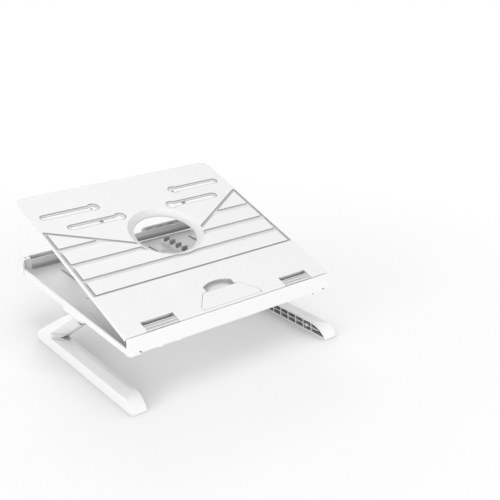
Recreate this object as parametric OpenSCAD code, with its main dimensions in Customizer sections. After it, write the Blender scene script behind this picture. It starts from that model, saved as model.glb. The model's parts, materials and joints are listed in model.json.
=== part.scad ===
// Folding laptop stand: a slotted top plate hinged on a shallow tray, a steel prop bail over two
// toothed racks, and two ribbed V legs that fold in under the tray. Millimetres, +Z up.
// Origin on the desk under the middle of the stand, +X to the right, +Y to the rear.

/* [Piece] */
// Piece to draw, or all of them

/* [Overall] */
// Width of the top plate and of the tray
plate_w = 320; // [312:1:330]
// Length of the tray
tray_l = 305; // [302:1:307]
// How far the top plate, from the laptop's front stop datum, is longer than the tray
plate_over = 0; // [-2:0.5:2]
// Height of the tray's underside above the desk at its front
tray_z = 73.5; // [72:0.5:76]
// Rise of the tray towards the rear, degrees
tray_a = 1.4; // [1:0.1:1.8]
// Opening angle of the top plate above the tray, degrees
open_a = 16.9; // [15:0.1:18]

/* [Top plate] */
// Thickness of the deck
deck_t = 2.8; // [2.6:0.1:3]
// Radius of the two rear corners in plan
corner_r = 13; // [8:1:16]
// Radius of the rounded front edge
nose_r = 3; // [2.8:0.1:3.2]
// Depth of the skirt below the deck's top face
skirt_h = 10.7; // [9:0.1:11.5]
// Wall of the skirt
skirt_t = 2.2; // [1.8:0.1:2.6]
// Step from the deck's side edge in to the skirt
skirt_in = 5; // [4.6:0.1:5.4]
// Distance from the skirt's rear wall to the deck's rear edge
skirt_back = 25; // [24:1:28]
// Depth of the grooves and steps in the deck
groove_d = 1.5; // [0.8:0.1:1.6]
// Width of the side grooves and of the two slanting grooves
groove_w = 4.4; // [3.6:0.1:5.2]
// Plain rim left outside the side grooves
rim_w = 1.6; // [1.2:0.1:2.2]
// Distance from the deck's rear edge to where the slanting grooves meet the side grooves
vee_back = 84.6; // [82:0.2:88]

/* [Window] */
// Radius of the clear hole
window_r = 44; // [41:0.5:45]
// Distance of the hole's centre from the deck's rear edge
window_back = 138; // [136:1:140]
// Breadth of the dished rim
dish_w = 9.2; // [8:0.1:10]
// Depth of the dished rim
dish_d = 5.5; // [4.5:0.1:6]
// Wall of the dished rim
dish_t = 2.2; // [1.8:0.1:2.6]

/* [Keyhole slots] */
// Distance of the rear pair from the deck's rear edge
row_back = 52.5; // [50:0.5:55]
// Distance from the rear pair to the front pair
row_gap = 33; // [31:0.5:35]
// Distance of the rear pair from the side grooves
key_out = 7; // [5:0.5:9]
// Shift of the front pair towards the middle
key_shift = 24; // [22:0.5:26]
// Length of each recess
key_l = 89; // [84:1:90]
// Depth of the recess round each slot
key_d = 1.2; // [0.8:0.1:1.3]
// Width of the through slot
slot_w = 6.4; // [5:0.2:7.4]

/* [Flip tab and stops] */
// Half width of the flip tab at its front
tab_front = 46; // [42:1:48]
// Half width of the flip tab at its rear edge
tab_rear = 28.5; // [26:0.5:30]
// Rear edge of the flip tab, from the datum
tab_v = 33.3; // [31:0.5:35]
// Radius of the tab's rolled front
tab_roll = 3.1; // [2.9:0.1:3.2]
// Middle of each stop, in from the deck's side edge
stop_in = 52.5; // [50:0.5:55]
// Length of each stop
stop_w = 45; // [40:1:46]
// Reach of each stop behind its pin
stop_l = 8; // [7:0.1:9]
// Running gap round the tab and the stops
flap_gap = 0.5; // [0.4:0.05:0.7]

/* [Tray] */
// Thickness of the tray's floor
floor_t = 3.4; // [3:0.1:3.8]
// Wall of the tray's sides and of the rear guards
wall_t = 2.4; // [2:0.1:2.8]
// Height of the side walls at the front
side_front = 8.3; // [7.5:0.1:9.5]
// Height of the side walls at the rear
side_rear = 10.6; // [9.6:0.1:11]
// Height of the front lip
lip_h = 21.3; // [20.5:0.1:21.8]
// Height of the rear guards
guard_h = 19.4; // [18.6:0.1:19.6]
// Half width of the hand opening at the rear
hand_u = 45; // [40:1:50]
// Length of the corner blocks along the tray's sides
block_l = 21.4; // [20:0.1:22]
// Width of each corner block
block_w = 17; // [16:0.5:20]

/* [Bail and racks] */
// Diameter of the bail's wire
wire_d = 4; // [3.6:0.1:4.2]
// Distance from the plate's hinge to the bail's pivot
pivot_l = 150; // [149:0.5:151]
// Drop of the bail's pivot below the deck's top face
pivot_drop = 8.5; // [8.3:0.1:8.7]
// Distance of the bail's arms from the plate's side edges
arm_in = 52; // [48:1:56]
// Distance of the cross bar from the tray's rear end
rod_back = 47.5; // [46:0.5:49]
// Distance of each rack from the middle
rack_x = 66; // [62:1:70]
// Spacing of the rack's teeth
tooth_p = 16.3; // [15.5:0.1:16.8]
// Height of the rack's teeth above the tray's underside
rack_h = 14.4; // [13.6:0.1:14.6]

/* [Legs] */
// Distance of the leg pins from the tray's side faces
leg_set = 15; // [14:0.5:16]
// Drop of the leg pins below the tray's underside at its front
leg_drop = 8; // [7.8:0.1:8.4]
// Outward lean of the legs, degrees
splay = 5; // [4:0.5:6]
// Front tip of the feet, ahead of the datum
toe = 14; // [12:0.5:16]
// Distance of the heels from the tray's rear end
heel_back = 63; // [60:1:66]
// Height of the lower arm
arm_h = 18.5; // [17:0.5:20]
// Rise of the upper arm, degrees
rise_a = 35.5; // [35:0.5:36]
// Outer wall of the legs
leg_t = 1.8; // [1.6:0.1:2.2]
// Spacing of the ribs in the legs
rib_p = 16.6; // [15.5:0.1:17.5]
// Thickness of the ribs
rib_t = 1.3; // [1.1:0.1:1.6]

/* [Hidden] */
$fn = 64;
fit = 0.02;
run = 0.07;
gap = 0.3;
eps = 0.01;
over = 1;
big = 1000;

white = [0.93, 0.93, 0.93];
steel = [0.72, 0.73, 0.75];
rubber = [0.78, 0.78, 0.78];

// plate hinge
pin_r = 1.5;
hinge_drop = 7.2;
nose_ahead = 0.4;
lip_front = -1.7;
lip_t = 2.8;
lip_clear = 5.4;
hinge_y = lip_front + lip_t + lip_clear;
hinge_z = 15.8;
hinge_v = 4.05;
nose_v = hinge_v + nose_ahead;
plate_front = nose_v - nose_r;
ear_r = 3.6;
ear_w = 6.4;
ear_in = 13.5;
ear_gap = 0.7;

// plate
plate_l = tray_l + plate_over;
half_w = plate_w / 2;
skirt_x = half_w - skirt_in;
skirt_end = plate_l - skirt_back;
ear_x = skirt_x - ear_in;
boss_x = ear_x + ear_w + ear_gap;
boss_r = ear_r + 0.2;
window_v = plate_l - window_back;
vee_v = plate_l - vee_back;
dish_x = window_r + dish_w;
rim_x = dish_x + 0.6;
dish_r = (dish_w * dish_w + dish_d * dish_d) / (2 * dish_d);
groove_out = half_w - rim_w;
panel_u = groove_out - groove_w;
vee_up = 10;
vee_in_v = window_v - vee_up;
vee_in_u = sqrt(rim_x * rim_x - vee_up * vee_up);
vee_tip_u = groove_out - groove_w / 2;
vee_a = atan2(vee_v - vee_in_v, vee_tip_u - vee_in_u);
vee_len = norm([vee_tip_u - vee_in_u, vee_v - vee_in_v]);
// steps across the deck, from the window's centre: upper edge, foot, end of the ramp
steps = [[16.5, 12, 3], [-18.2, -22.5, -29.5], [-51.3, -55, -61]];
front_groove = window_v - 86.5;
front_groove_w = 3.1;
row_rear = plate_l - row_back;
row_front = row_rear - row_gap;
rear_u = panel_u - key_out - key_l;
front_u = rear_u - key_shift;
key_r = 9;
key_half = 6.5;
slot_end_r = 5;
slot_inset = 4;
boss_v = nose_v - nose_r + 0.7;
cheek_t = 2.4;
pad_rim = 2;
deck_rib_t = 2;
deck_rib_h = 7;
slot_rib_h = 8.5;
slot_rib_u = front_u + 33;
// ribs along the deck's underside: distance from the middle, front end, length
side_ribs = [[half_w - 60, 26, 90], [dish_x + 8, window_v - 39, 60]];
cross_ribs = [62, 104];
cross_rib_u = panel_u - 22;

// flip tab, stops and the wells they lie in
nose_wall = 0.5;
tab_pin_v = plate_front + nose_wall + flap_gap + tab_roll + 2.6;
tab_pin_w = -tab_roll - 0.1;
tab_t = 3;
tab_top = -0.1;
tab_pin_r = 1.2;
tab_pin_in = 5;
tab_bend = tab_pin_v + tab_roll;
well_floor = 6.8;
well_wall = 1.8;
crescent_r = 42.5;
crescent_in = 6;
crescent_up = 26.3;
crescent_l = 20;
crescent_d = 4.8;
stop_u = half_w - stop_in;
stop_roll = 1.6;
stop_pin_r = 0.8;
stop_ahead = 3.2;
stop_pin_v = plate_front + stop_ahead + 0.55;
stop_pin_w = -2 * stop_roll;
stop_t = 2.2;
stop_well_v = 18.5;
stop_floor = 7.6;
ridge_r = 0.8;
ridge_up = 0.2;
ridge_v = 2.2;

// tray
tray_half = plate_w / 2;
block_y = tray_l - block_l;
side_end = block_y - 2.4;
rear_in = tray_l - wall_t;
inner_wall_y = tray_l - 12;
inner_wall_h = 17;
inner_wall_t = 1.8;
inner_r = 9.5;
block_x = tray_half - block_w;
guard_r = 8;
guard_y = inner_wall_y + inner_wall_t + gap;
inner_c = [tray_half - wall_t - inner_r, inner_wall_y - inner_r];
web_t = 2;
guard_ties = [hand_u + 13, hand_u + 53, hand_u + 85];
tie_h = 11;
post_r = 3.3;
post_h = 8;
dimple_in = 6;
dimple_d = 0.8;
dimple_r = 1.6;
sill_ties = [-30, 0, 30];
hand_z = 7.5;
hand_r = 7;
tray_rib_h = 1.6;
tray_rib_y = 24;
tray_ribs = [-rack_x - 44, 30 - rack_x, rack_x - 30, rack_x + 44];
lip_below = 1;
foot_at = [10.5 - tray_half, tray_half - 20];
foot_l = 15.4;
foot_drop = 4;
foot_r = 2.4;
slit_at = [17 - tray_half, tray_half - 10.4];
slit_z = 0.7;
slit_a = 35;
slit_l = 1.6;
slit_r = 0.95;
slit_depth = 2.5;
catch_at = [45 - tray_half, 71 - tray_half, tray_half - 71, tray_half - 45];
catch_l = 6;
catch_t = 1.6;
catch_drop = 2.2;
guard_screw_at = [[tray_half - 7.5, tray_l - 7], [hand_u + 35, tray_l - 6.5]];
screw_sink = 1.8;
screw_bite = 3;
slack = 0.2;
small_r = 1.1;
small_head_r = 2.4;
small_head_h = 1.6;

// bail
wire_r = wire_d / 2;
arm_x = half_w - arm_in;
rod_y = tray_l - rod_back;
rod_z = rack_h + wire_r + gap;
pivot_y = hinge_y + pivot_l * cos(open_a) + (pivot_drop - hinge_drop) * sin(open_a);
pivot_z = hinge_z + pivot_l * sin(open_a) - (pivot_drop - hinge_drop) * cos(open_a);
arm_l = norm([rod_y - pivot_y, pivot_z - rod_z]);
bail_a = atan2(pivot_z - rod_z, rod_y - pivot_y);
bend_in = 4;
bend_out = 8;
clip_x = arm_x - 11;
clip_w = 5.6;
clip_l = 16;
pad_t = 3;
clip_low = 12;
clip_sink = 1.2;
clip_screw_r = 1;
clip_head_r = 1.9;
clip_head_h = 1.1;
rack_w = 11;
rack_base = 4;
rack_teeth = 4;
tooth_y = rod_y - 11.5;
tooth_land = 1.4;
tooth_gap = 5;
rack_front = rod_y - 61.5;
valley_z = floor_t + rack_base;
rack_end = tooth_y + 2 * tooth_p;
rack_screw_at = [rack_front + tooth_p * 0.7, tooth_y + tooth_p / 2];

// legs
leg_x = tray_half - leg_set;
leg_z = tray_z - leg_drop;
heel_y = tray_l - heel_back;
axis_r = 2;
knuckle_r = 6;
knuckle_y = heel_y - 101;
knuckle_l = 15;
lug_gap = 0.6;
lug_t = 6.4;
leg_in = -5;
leg_mid = 2;
leg_out = 15.4;
leg_skin = 7.8;
leg_top = leg_z + 5;
sole_z = 0.4;
pad_in = 0.8;
heel_r = 6.9;
heel_c = [heel_y - heel_r, heel_r - 1];
arm_c = heel_c + heel_r * [sin(rise_a), cos(rise_a)];
across = [sin(rise_a), cos(rise_a)];
along = [-cos(rise_a), sin(rise_a)];
arm_deep = 22.6;
arm_thin = 12.8;
top_fall = 3.8;
notch_r = 5;
// point at height z on the line that lies deep below the upper arm's rear edge
function under_arm(deep, z) =
    arm_c - deep * across + (deep * across[1] + z - arm_c[1]) / along[1] * along;
vee_c = under_arm(arm_deep, arm_h);
vee_out = under_arm(arm_thin, arm_h - top_fall);
// direction of the notch, and its opening in the plane across that direction
notch_turn = atan2(vee_out[0] - vee_c[0], leg_out - leg_mid);
notch_dip = atan2(-top_fall, norm([vee_out[0] - vee_c[0], leg_out - leg_mid]));
notch_low = atan2(-cos(notch_turn), -sin(notch_dip) * sin(notch_turn));
notch_high = atan2(along[0] * cos(notch_turn),
    along[0] * sin(notch_dip) * sin(notch_turn) - along[1] * cos(notch_dip));
notch_mid = (notch_low + notch_high) / 2;
notch_half = (notch_low - notch_high) / 2;
toe_r = 36;
toe_c = [16, arm_h - toe_r];
wall_in = 2;
pocket_low = 3.2;
pocket_drop = 12;
lug_room = 10;
rib_y = 15.5;
toe_post_y = 24.6;
toe_post_r = 2.5;
bevel_w = 8;
bevel_d = 4.5;
bevel_l = 98;
bevel_from = 4;
plate_low = leg_z + 6.8;
bracket_y = knuckle_y - 32;
bracket_l = 56;
bracket_in = leg_x - 23;
bracket_screw_at = [
    [bracket_in + 6, bracket_y + 8], [bracket_in + 6, bracket_y + 48],
    [tray_half - 4.5, bracket_y + 10]
];
bracket_screw_r = 1.2;
bracket_screw_l = 5.2;
bracket_head_r = 2.3;
bracket_head_h = 1.6;
pad_x = tray_half - 11;
pad_w = 11;
// foot pads: front end and length
pad_at = [[4, 36], [heel_y - 52, 36]];

// the stand's middle along Y, so that the origin lies under the middle
mid_y = (tray_l * cos(tray_a) - toe) / 2;

// ---------------------------------------------------------------- frames and helpers

// Tray frame: y along the tray, z up from its underside
module at_tray() {
    translate([0, -mid_y, tray_z]) rotate([tray_a, 0, 0]) children();
}

// Plate frame: y up the slope from the datum, z out of the deck's top face
module at_plate() {
    at_tray() translate([0, hinge_y, hinge_z]) rotate([open_a, 0, 0])
        translate([0, -hinge_v, hinge_drop]) children();
}

// Bail frame: x along the pivot, y along the arms
module at_bail() {
    at_tray() translate([0, pivot_y, pivot_z]) rotate([-bail_a, 0, 0]) children();
}

// Leg frame: x outwards from the leg pin, y and z as in the stand, leant outwards
module at_leg() {
    translate([leg_x, -mid_y, leg_z]) rotate([0, -splay, 0]) translate([0, 0, -leg_z]) children();
}

// A (y, z) outline drawn out along X from x0
module along_x(x0, len) {
    translate([x0, 0, 0]) rotate([90, 0, 90]) linear_extrude(len) children();
}

// The same part on the right and, mirrored, on the left
module both_sides() {
    children();
    mirror([1, 0, 0]) children();
}

// The right-hand part, or its mirror image for the left
module on_side(side) {
    if (side > 0) children();
    else mirror([1, 0, 0]) children();
}

module rod_x(x0, len, r, y = 0, z = 0) {
    translate([x0, y, z]) rotate([0, 90, 0]) cylinder(h = len, r = r);
}

// Round-headed screw: head at z = 0 and down, shank up
module screw(shank_r, shank_l, head_r, head_h) {
    difference() {
        union() {
            cylinder(h = shank_l, r = shank_r);
            translate([0, 0, -head_h]) cylinder(h = head_h, r = head_r);
        }
        translate([0, 0, -head_h - eps]) cylinder(h = head_h / 2 + eps, r = head_r / 2, $fn = 6);
    }
}

// ---------------------------------------------------------------- top plate

module deck_outline() {
    translate([-half_w, nose_v]) square([plate_w, plate_l - corner_r - nose_v]);
    translate([corner_r - half_w, nose_v]) square([plate_w - 2 * corner_r, plate_l - nose_v]);
    for (s = [-1, 1])
        translate([s * (half_w - corner_r), plate_l - corner_r]) circle(r = corner_r);
}

// Bar with a large round end towards the middle of the plate
module key_outline(u_in, u_out, end_r, half) {
    translate([u_in + end_r, 0]) circle(r = end_r);
    translate([u_in + end_r, -half]) square([u_out - half - u_in - end_r, 2 * half]);
    translate([u_out - half, 0]) circle(r = half);
}

module keyhole(u_in) {
    translate([0, 0, -key_d]) linear_extrude(key_d + over)
        key_outline(u_in, u_in + key_l, key_r, key_half);
    translate([0, 0, -deck_t - over]) linear_extrude(deck_t + 2 * over)
        key_outline(u_in + slot_inset, u_in + key_l - slot_inset, slot_end_r, slot_w / 2);
}

// Step across the deck: upright upper edge, flat foot, then a ramp out to the deck
module step_cut(s) {
    along_x(-panel_u - over, 2 * (panel_u + over)) translate([window_v, 0])
        polygon([[s[0], over], [s[0], -groove_d], [s[1], -groove_d], [s[2], 0], [s[2], over]]);
}

// Part of the deck in front of the two slanting grooves
module below_vee() {
    translate([0, 0, -deck_t]) linear_extrude(2 * deck_t)
        polygon([
            [-groove_out, 0], [groove_out, 0], [groove_out, vee_v], [vee_tip_u, vee_v],
            [vee_in_u, vee_in_v], [-vee_in_u, vee_in_v], [-vee_tip_u, vee_v], [-groove_out, vee_v]
        ]);
}

module deck_grooves() {
    difference() {
        union() {
            intersection() {
                step_cut(steps[0]);
                below_vee();
            }
            step_cut(steps[1]);
            step_cut(steps[2]);
            translate([-groove_out, front_groove, -groove_d])
                cube([2 * groove_out, front_groove_w, groove_d + over]);
            both_sides() {
                translate([panel_u, front_groove, -groove_d])
                    cube([groove_w, vee_v - front_groove, groove_d + over]);
                translate([vee_in_u, vee_in_v, -groove_d]) rotate(vee_a)
                    translate([-groove_w / 2, -groove_w / 2, 0])
                        cube([vee_len + groove_w / 2, groove_w, groove_d + over]);
                translate([vee_tip_u, vee_v, -groove_d])
                    cylinder(h = groove_d + over, r = groove_w / 2);
            }
        }
        translate([0, window_v, -deck_t]) cylinder(h = 2 * deck_t, r = rim_x);
    }
}

// Dished rim of the window: an arc that curves down from the deck to the clear hole
module window_dish() {
    translate([0, window_v, 0]) rotate_extrude() intersection() {
        translate([window_r, dish_r - dish_d]) difference() {
            circle(r = dish_r + dish_t);
            circle(r = dish_r);
        }
        translate([window_r, -dish_d - dish_t]) square([dish_w + dish_t, dish_d + dish_t]);
    }
}

// Outline of the flip tab's recess with the crescent behind it, grown by g
module tab_well_outline(g) {
    half = tab_front + flap_gap + g;
    rear = tab_rear + flap_gap + g;
    crescent = tab_rear - crescent_in + g;
    polygon([
        [-half, tab_pin_v - tab_roll - flap_gap - g], [half, tab_pin_v - tab_roll - flap_gap - g],
        [half, tab_bend], [rear, tab_v], [crescent, tab_v + over],
        [-crescent, tab_v + over], [-rear, tab_v], [-half, tab_bend]
    ]);
    intersection() {
        translate([0, tab_v - crescent_up]) circle(r = crescent_r + g);
        translate([-crescent, tab_v]) square([2 * crescent, crescent_l + g]);
    }
}

module stop_site(grow) {
    translate([stop_u - stop_w / 2 - flap_gap - grow, 0, 0]) children();
}

module well_shells() {
    translate([0, 0, -well_floor - well_wall]) linear_extrude(well_floor + well_wall - over)
        tab_well_outline(well_wall);
    both_sides()
        stop_site(well_wall) translate([0, plate_front + nose_wall, -stop_floor - well_wall])
            cube([
                stop_w + 2 * (flap_gap + well_wall), stop_well_v + well_wall - plate_front,
                stop_floor + well_wall - over
            ]);
}

module well_cuts() {
    translate([0, 0, -well_floor]) linear_extrude(well_floor + over)
        intersection() {
            tab_well_outline(0);
            translate([-half_w, 0]) square([plate_w, tab_v + flap_gap]);
        }
    translate([0, 0, -crescent_d]) linear_extrude(crescent_d + over) tab_well_outline(0);
    both_sides()
        stop_site(0) translate([0, 0, -stop_floor])
            cube([stop_w + 2 * flap_gap, stop_well_v, stop_floor + over]);
    rod_x(-tab_front - tab_pin_in, 2 * (tab_front + tab_pin_in), tab_pin_r + fit, tab_pin_v, tab_pin_w);
    both_sides()
        stop_site(2 * well_wall)
            rod_x(0, stop_w + 2 * flap_gap + 4 * well_wall, stop_pin_r + fit, stop_pin_v, stop_pin_w);
}

module plate_skirt() {
    both_sides() {
        translate([skirt_x - skirt_t, boss_v, -skirt_h])
            cube([skirt_t, skirt_end - boss_v, skirt_h - over]);
        // cheek under the deck's side edge, deepest at the front
        along_x(half_w - cheek_t, cheek_t)
            polygon([
                [nose_v, -over], [nose_v, -2 * nose_r],
                [plate_l - corner_r, -deck_t], [plate_l - corner_r, -over]
            ]);
        rod_x(boss_x, skirt_x - boss_x, boss_r, hinge_v, -hinge_drop);
        translate([boss_x, boss_v, -hinge_drop])
            cube([skirt_x - boss_x, hinge_v + boss_r - boss_v, hinge_drop - nose_r]);
        // pad over each bail clip
        translate([clip_x - pad_rim, hinge_v + pivot_l - clip_l / 2 - pad_rim, -deck_t - pad_t])
            cube([clip_w + 2 * pad_rim, clip_l + 2 * pad_rim, pad_t + over]);
        // stiffening ribs under the deck
        translate([slot_rib_u, row_front - key_r - 5, -slot_rib_h])
            cube([deck_rib_t, row_gap + 2 * key_r, slot_rib_h - over]);
        for (r = side_ribs)
            translate([r[0], r[1], -deck_rib_h]) cube([deck_rib_t, r[2], deck_rib_h - over]);
    }
    translate([skirt_t - skirt_x, skirt_end - skirt_t, -skirt_h])
        cube([2 * (skirt_x - skirt_t), skirt_t, skirt_h - over]);
    for (v = cross_ribs)
        translate([-cross_rib_u, v, -deck_rib_h]) cube([2 * cross_rib_u, deck_rib_t, deck_rib_h - over]);
}

// Screw places of one bail clip
module clip_screw_sites() {
    for (s = [-1, 1])
        translate([clip_x + clip_w / 2, hinge_v + pivot_l + s * clip_l / 3, 0]) children();
}

module top_plate() {
    color(white) at_plate() difference() {
        union() {
            difference() {
                union() {
                    translate([0, 0, -deck_t]) linear_extrude(deck_t) deck_outline();
                    rod_x(-half_w, plate_w, nose_r, nose_v, -nose_r);
                    plate_skirt();
                    well_shells();
                }
                translate([0, window_v, -big / 2]) cylinder(h = big, r = dish_x);
            }
            window_dish();
        }
        deck_grooves();
        both_sides() {
            translate([0, row_rear, 0]) keyhole(rear_u);
            translate([0, row_front, 0]) keyhole(front_u);
            // room for the tray's hinge ears and the bores for the hinge pins
            rod_x(ear_x - ear_gap, ear_w + 2 * ear_gap, ear_r + ear_gap, hinge_v, -hinge_drop);
            rod_x(boss_x - over, skirt_x - boss_x + 2 * over, pin_r + run, hinge_v, -hinge_drop);
            clip_screw_sites() translate([0, 0, -big])
                cylinder(h = big - deck_t + 0.4, r = clip_screw_r + fit);
        }
        well_cuts();
    }
}

module flip_tab() {
    color(white) at_plate() difference() {
        union() {
            rod_x(-tab_front, 2 * tab_front, tab_roll, tab_pin_v, tab_pin_w);
            translate([0, 0, tab_top - tab_t]) linear_extrude(tab_t) polygon([
                [-tab_front, tab_pin_v], [tab_front, tab_pin_v], [tab_front, tab_bend],
                [tab_rear, tab_v], [-tab_rear, tab_v], [-tab_front, tab_bend]
            ]);
        }
        rod_x(-tab_front - over, 2 * (tab_front + over), tab_pin_r + run, tab_pin_v, tab_pin_w);
    }
}

module tab_pin() {
    color(steel) at_plate()
        rod_x(-tab_front - tab_pin_in + gap, 2 * (tab_front + tab_pin_in - gap), tab_pin_r,
            tab_pin_v, tab_pin_w);
}

// Ribbed bar that lies in its well and swings up as a stop
module stop_bar(side) {
    color(white) at_plate() on_side(side) difference() {
        translate([stop_u - stop_w / 2, stop_pin_v, stop_pin_w]) {
            rod_x(0, stop_w, stop_roll);
            translate([0, stop_t / 2 - stop_ahead, stop_roll - stop_t])
                cube([stop_w, stop_l + stop_ahead - stop_t / 2, stop_t]);
            rod_x(0, stop_w, stop_t / 2, stop_t / 2 - stop_ahead, stop_roll - stop_t / 2);
            for (v = [-ridge_v, (stop_l - ridge_r - ridge_v) / 2, stop_l - ridge_r])
                rod_x(0, stop_w, ridge_r, v, stop_roll + ridge_up);
        }
        rod_x(stop_u - stop_w / 2 - over, stop_w + 2 * over, stop_pin_r + run, stop_pin_v, stop_pin_w);
    }
}

module left_stop() {
    stop_bar(-1);
}

module right_stop() {
    stop_bar(1);
}

module stop_pins() {
    color(steel) at_plate() both_sides()
        stop_site(well_wall)
            rod_x(0, stop_w + 2 * (flap_gap + well_wall), stop_pin_r, stop_pin_v, stop_pin_w);
}

// ---------------------------------------------------------------- tray

// Rear part of the tray in plan with rounded corners, brought in by g
module rear_outline(y0, g) {
    r = guard_r - g;
    translate([g - tray_half, y0]) square([2 * (tray_half - g), tray_l - g - r - y0]);
    translate([g + r - tray_half, y0]) square([2 * (tray_half - g - r), tray_l - g - y0]);
    for (s = [-1, 1]) translate([s * (tray_half - g - r), tray_l - g - r]) circle(r = r);
}

module tray_floor() {
    translate([-tray_half, lip_front, 0]) cube([2 * tray_half, side_end - lip_front, floor_t]);
    linear_extrude(floor_t) rear_outline(side_end - over, wall_t + 0.1);
    // sill under the hand opening
    translate([-hand_u, rear_in - over, 0]) cube([2 * hand_u, wall_t + over, hand_z]);
    rod_x(-hand_u, 2 * hand_u, wall_t / 2, rear_in + wall_t / 2, hand_z);
}

module front_lip() {
    translate([-tray_half, lip_front, -lip_below])
        cube([2 * tray_half, lip_t, lip_h + lip_below - lip_t / 2]);
    rod_x(-tray_half, 2 * tray_half, lip_t / 2, lip_front + lip_t / 2, lip_h - lip_t / 2);
    // rounded feet and small catches along the lip's lower edge
    for (x = foot_at) translate([x - foot_l / 2, lip_front, -foot_drop + foot_r]) {
        cube([foot_l, 2 * foot_r, foot_drop]);
        rod_x(0, foot_l, foot_r, foot_r, 0);
    }
    for (x = catch_at) translate([x - catch_l / 2, lip_front, -catch_drop])
        cube([catch_l, catch_t, catch_drop]);
}

// Slanting oval slit through the lip beside a foot
module lip_slit(x) {
    translate([x, 0, slit_z]) rotate([-90, 0, 0]) rotate(slit_a)
        translate([0, 0, -slit_depth]) linear_extrude(2 * slit_depth) {
            square([slit_l, slit_r * 2], center = true);
            for (s = [-1, 1]) translate([s * slit_l / 2, 0]) circle(r = slit_r);
        }
}

module screw_hole(x, y) {
    translate([x, y, -big]) {
        cylinder(h = big + floor_t + over, r = small_r + slack);
        cylinder(h = big + screw_sink, r = small_head_r + slack);
    }
}

module base_tray() {
    color(white) difference() {
        at_tray() difference() {
            union() {
                tray_floor();
                front_lip();
                both_sides() {
                    along_x(tray_half - wall_t, wall_t) polygon([
                        [lip_front, 0], [side_end, 0], [side_end, side_rear], [lip_front, side_front]
                    ]);
                    // ears for the plate's hinge pins
                    rod_x(ear_x, ear_w, ear_r, hinge_y, hinge_z);
                    translate([ear_x, hinge_y - ear_r, floor_t - over])
                        cube([ear_w, 2 * ear_r, hinge_z - floor_t + over]);
                }
                translate([-block_x, inner_wall_y, floor_t - over])
                    cube([2 * block_x, inner_wall_t, inner_wall_h - floor_t + over]);
                for (u = sill_ties)
                    translate([u - inner_wall_t / 2, inner_wall_y, floor_t - over])
                        cube([inner_wall_t, rear_in - inner_wall_y + eps, hand_z - floor_t + over]);
                // low stiffening ribs on the floor
                for (x = tray_ribs)
                    translate([x - deck_rib_t / 2, tray_rib_y, floor_t - over])
                        cube([deck_rib_t, rod_y + 7 - tray_rib_y, tray_rib_h + over]);
            }
            for (x = slit_at) lip_slit(x);
            both_sides() {
                rod_x(ear_x - over, ear_w + 2 * over, pin_r + fit, hinge_y, hinge_z);
                for (p = guard_screw_at) screw_hole(p[0], p[1]);
                for (y = rack_screw_at) screw_hole(rack_x, y);
            }
        }
        both_sides() bracket_screw_sites() cylinder(h = 20, r = bracket_screw_r + fit);
    }
}

// Plan of a corner block with its concave inner corner, brought in by g
module block_plan(g) {
    difference() {
        intersection() {
            rear_outline(block_y, g);
            translate([block_x + g, 0]) square([block_w, tray_l]);
        }
        translate([0, 0]) square([inner_c[0], inner_wall_y + g]);
        translate(inner_c) circle(r = inner_r + g);
    }
}

// Corner block with its length of outer wall up to the hand opening
module rear_guard(side) {
    web_l = rear_in - guard_y + eps;
    color(white) at_tray() on_side(side) difference() {
        union() {
            intersection() {
                difference() {
                    linear_extrude(guard_h) rear_outline(block_y, 0);
                    translate([0, 0, -over]) linear_extrude(guard_h + 2 * over)
                        rear_outline(block_y - over, wall_t);
                }
                translate([hand_u + gap, 0, 0]) cube([tray_half, tray_l, guard_h]);
            }
            translate([0, 0, floor_t]) difference() {
                linear_extrude(guard_h - floor_t) block_plan(0);
                translate([0, 0, -over]) linear_extrude(guard_h - floor_t - wall_t + over) block_plan(wall_t);
            }
            // base web that sits on the tray floor, with ties to the outer wall
            translate([hand_u + over, guard_y, floor_t])
                cube([block_x - hand_u, web_l, web_t]);
            for (x = guard_ties)
                translate([x, guard_y, floor_t]) cube([inner_wall_t, web_l, tie_h]);
            translate([guard_screw_at[0][0], guard_screw_at[0][1], floor_t])
                cylinder(h = guard_h - floor_t - over, r = post_r);
            translate([guard_screw_at[1][0], guard_screw_at[1][1], floor_t])
                cylinder(h = post_h, r = post_r);
        }
        // rounded upper corner of the hand opening
        translate([hand_u + gap, tray_l - wall_t - over, guard_h - hand_r]) rotate([-90, 0, 0])
            difference() {
                translate([-over, -hand_r - over, 0])
                    cube([hand_r + over, hand_r + over, wall_t + 2 * over]);
                translate([hand_r, 0, -over]) cylinder(h = wall_t + 4 * over, r = hand_r);
            }
        for (p = guard_screw_at)
            translate([p[0], p[1], floor_t - over]) cylinder(h = screw_bite + 2 * over, r = small_r + fit);
        // sunk dimple on top of the block
        translate([block_x + dimple_in, tray_l - dimple_in, guard_h - dimple_d])
            cylinder(h = dimple_d + over, r = dimple_r);
    }
}

module left_rear_guard() {
    rear_guard(-1);
}

module right_rear_guard() {
    rear_guard(1);
}

module guard_screws() {
    color(steel) at_tray() both_sides() for (p = guard_screw_at)
        translate([p[0], p[1], screw_sink])
            screw(small_r, floor_t - screw_sink + screw_bite, small_head_r, small_head_h);
}

// ---------------------------------------------------------------- racks and bail

// One tooth: upright front face, short land, sloping back
function tooth_points(y) = [
    [y, valley_z], [y, rack_h], [y + tooth_land, rack_h], [y + tooth_p - tooth_gap, valley_z]
];

module rack(side) {
    color(white) at_tray() on_side(side) difference() {
        along_x(rack_x - rack_w / 2, rack_w) polygon(concat(
            [[rack_front, floor_t], [rack_front, valley_z]],
            [for (i = [rack_teeth:-1:0], p = tooth_points(tooth_y + tooth_p * (1 - i))) p],
            [[rack_end, valley_z], [rack_end, floor_t]]
        ));
        for (y = rack_screw_at)
            translate([rack_x, y, floor_t - over]) cylinder(h = screw_bite + 2 * over, r = small_r + fit);
    }
}

module left_rack() {
    rack(-1);
}

module right_rack() {
    rack(1);
}

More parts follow.
